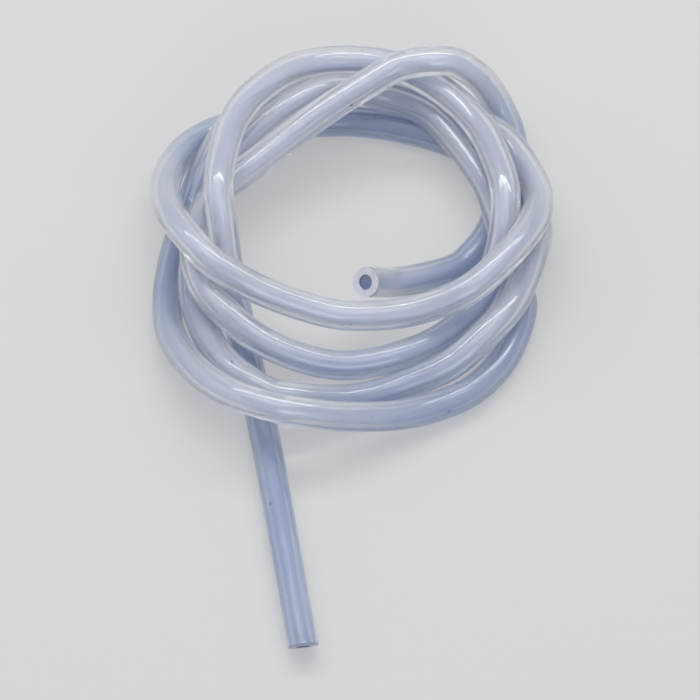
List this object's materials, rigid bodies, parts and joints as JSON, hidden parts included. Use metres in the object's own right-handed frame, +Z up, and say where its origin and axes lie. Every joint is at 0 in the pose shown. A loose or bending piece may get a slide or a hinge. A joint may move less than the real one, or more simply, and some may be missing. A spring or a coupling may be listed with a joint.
{
  "type": "silicone tubing coil",
  "caption": "Length of soft silicone laboratory tubing in a loose coil of overlapping turns, with a straight tail, a free end and a round bore open at both ends.",
  "frame": {"origin": "On the surface that the tubing rests on, at the middle of the rectangle that the coil and its tail cover", "axes": "+X to the right, +Y away from the front towards the back of the coil, +Z up; the tail points along -Y, turned about 8 degrees towards +X"},
  "size_m": [0.0796, 0.1439, 0.0235],
  "materials": {
    "silicone": "matt, milky translucent"
  },
  "bodies": {
    "root": {"tubing": "silicone"}
  },
  "joints": []
}
